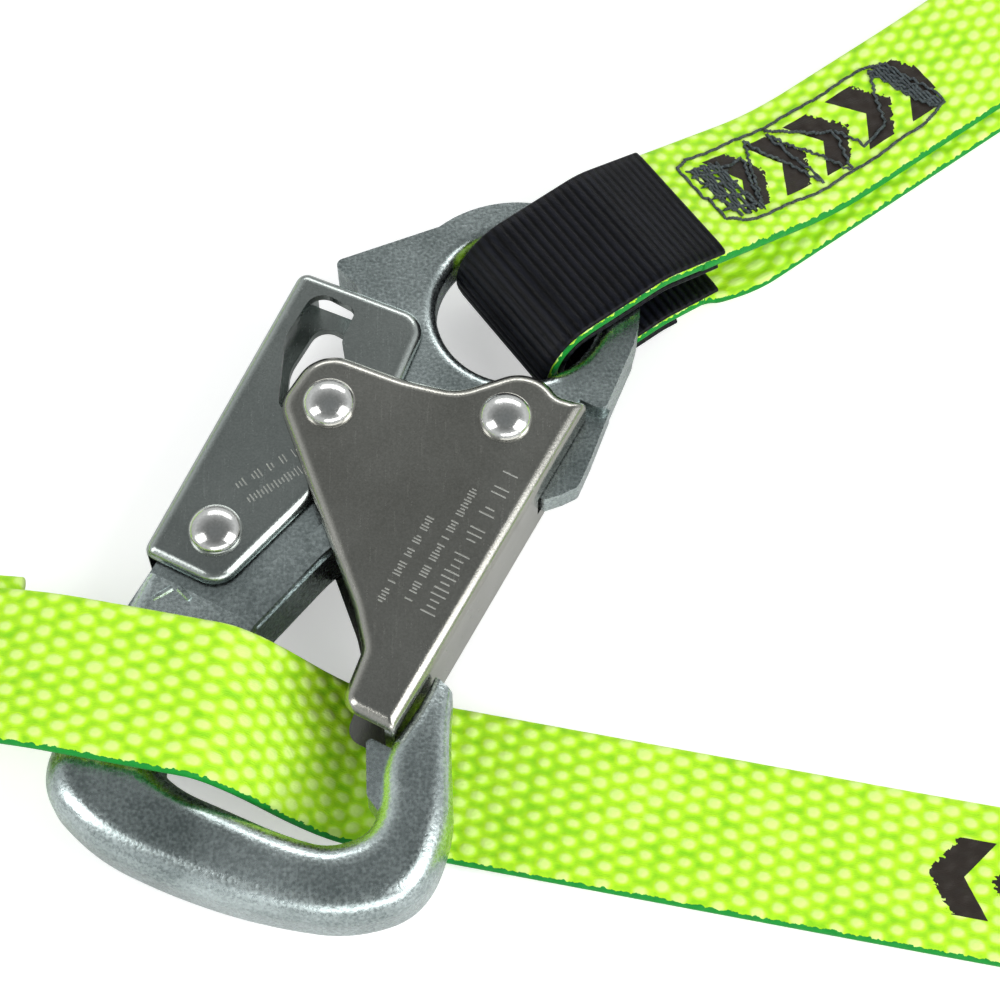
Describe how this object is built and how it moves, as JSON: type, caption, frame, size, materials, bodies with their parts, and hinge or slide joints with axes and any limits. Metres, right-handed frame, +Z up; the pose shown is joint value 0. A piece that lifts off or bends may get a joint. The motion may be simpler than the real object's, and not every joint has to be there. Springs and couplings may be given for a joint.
{
  "type": "shock absorbing lanyard",
  "caption": "Fall-arrest lanyard of flat webbing with a tear-webbing shock absorber and a self-locking snap hook at each end, tied back through one hook's throat.",
  "frame": {"origin": "centre of the base of the hooks and the shock absorber, on the surface the lanyard lies on", "axes": "+Z up from the surface, +X along the shock absorber towards the harness hook"},
  "size_m": [0.5354, 0.3325, 0.0265],
  "materials": {
    "webbing": "coarse woven polyester webbing",
    "wear_pad": "ribbed woven wear pad",
    "stitch_thread": "bonded thread",
    "forged_steel": "satin plated forging",
    "plated_sheet": "bright zinc plated sheet",
    "rivet_steel": "polished domed heads",
    "spring_steel": "drawn spring wire",
    "cover_fabric": "coated woven cover",
    "label_fabric": "plain printed fabric patch",
    "inner_webbing": "undyed webbing"
  },
  "bodies": {
    "root": {"absorber_backup_strap": "inner_webbing", "absorber_cover": "cover_fabric", "absorber_label": "label_fabric", "absorber_tear_webbing": "inner_webbing", "anchor_box_stitch": "stitch_thread", "anchor_gate_rivet": "rivet_steel", "anchor_gate_spacer": "rivet_steel", "anchor_gate_spring": "spring_steel", "anchor_hook_body": "forged_steel", "anchor_leg": "webbing", "anchor_lever_rivet": "rivet_steel", "anchor_lever_spring": "spring_steel", "anchor_tail": "webbing", "anchor_wear_pad_inner": "wear_pad", "anchor_wear_pad_outer": "wear_pad", "harness_leg": "webbing", "harness_wear_pad_inner": "wear_pad", "harness_wear_pad_outer": "wear_pad", "webbing_doubler": "webbing", "webbing_floor_run": "webbing", "webbing_left_run": "webbing", "webbing_pack_lead": "webbing", "webbing_return_bend": "webbing", "webbing_through_throat": "webbing", "webbing_tie_back_loop": "webbing", "webbing_twist_down": "webbing", "webbing_twist_in": "webbing", "webbing_twist_out": "webbing", "webbing_twist_up": "webbing"},
    "anchor_gate_body": {"anchor_gate": "plated_sheet", "anchor_lock_pin": "rivet_steel"},
    "anchor_lever_body": {"anchor_lock_lever": "plated_sheet"},
    "harness_hook_unit": {"harness_hook_body": "forged_steel", "harness_gate_rivet": "rivet_steel", "harness_lever_rivet": "rivet_steel", "harness_gate_spacer": "rivet_steel", "harness_gate_spring": "spring_steel", "harness_lever_spring": "spring_steel"},
    "harness_gate_body": {"harness_gate": "plated_sheet", "harness_lock_pin": "rivet_steel"},
    "harness_lever_body": {"harness_lock_lever": "plated_sheet"}
  },
  "joints": [
    {"name": "anchor_gate_hinge", "type": "hinge", "parent": "root", "child": "anchor_gate_body", "pos_m": [-0.04069, -0.0793, 0.011], "axis": [0, 0, -1], "range_deg": [0, 20], "stiffness_Nm_per_rad": 0.3, "springref_deg": -20.05, "deforming": ["anchor_gate_spring", "webbing_through_throat"]},
    {"name": "anchor_lever_hinge", "type": "hinge", "parent": "root", "child": "anchor_lever_body", "pos_m": [-0.08588, -0.09819, 0.011], "axis": [0, 0, -1], "range_deg": [0, 8.2], "deforming": ["anchor_lever_spring"]},
    {"name": "harness_hook_swing", "type": "hinge", "parent": "root", "child": "harness_hook_unit", "pos_m": [0.07041, 0.1257, 0.011], "axis": [0, 0, 1], "range_deg": [-20, 20]},
    {"name": "harness_gate_hinge", "type": "hinge", "parent": "harness_hook_unit", "child": "harness_gate_body", "pos_m": [0.09141, 0.1347, 0.011], "axis": [0, 0, -1], "range_deg": [0, 20], "stiffness_Nm_per_rad": 0.3, "springref_deg": -20.05, "deforming": ["harness_gate_spring"]},
    {"name": "harness_lever_hinge", "type": "hinge", "parent": "harness_hook_unit", "child": "harness_lever_body", "pos_m": [0.12941, 0.1038, 0.011], "axis": [0, 0, -1], "range_deg": [0, 8.2], "deforming": ["harness_lever_spring"]}
  ],
  "couplings": [
    {"joint": "anchor_lever_hinge", "follows": "anchor_gate_hinge", "ratio": 0.4},
    {"joint": "harness_lever_hinge", "follows": "harness_gate_hinge", "ratio": 0.4}
  ]
}
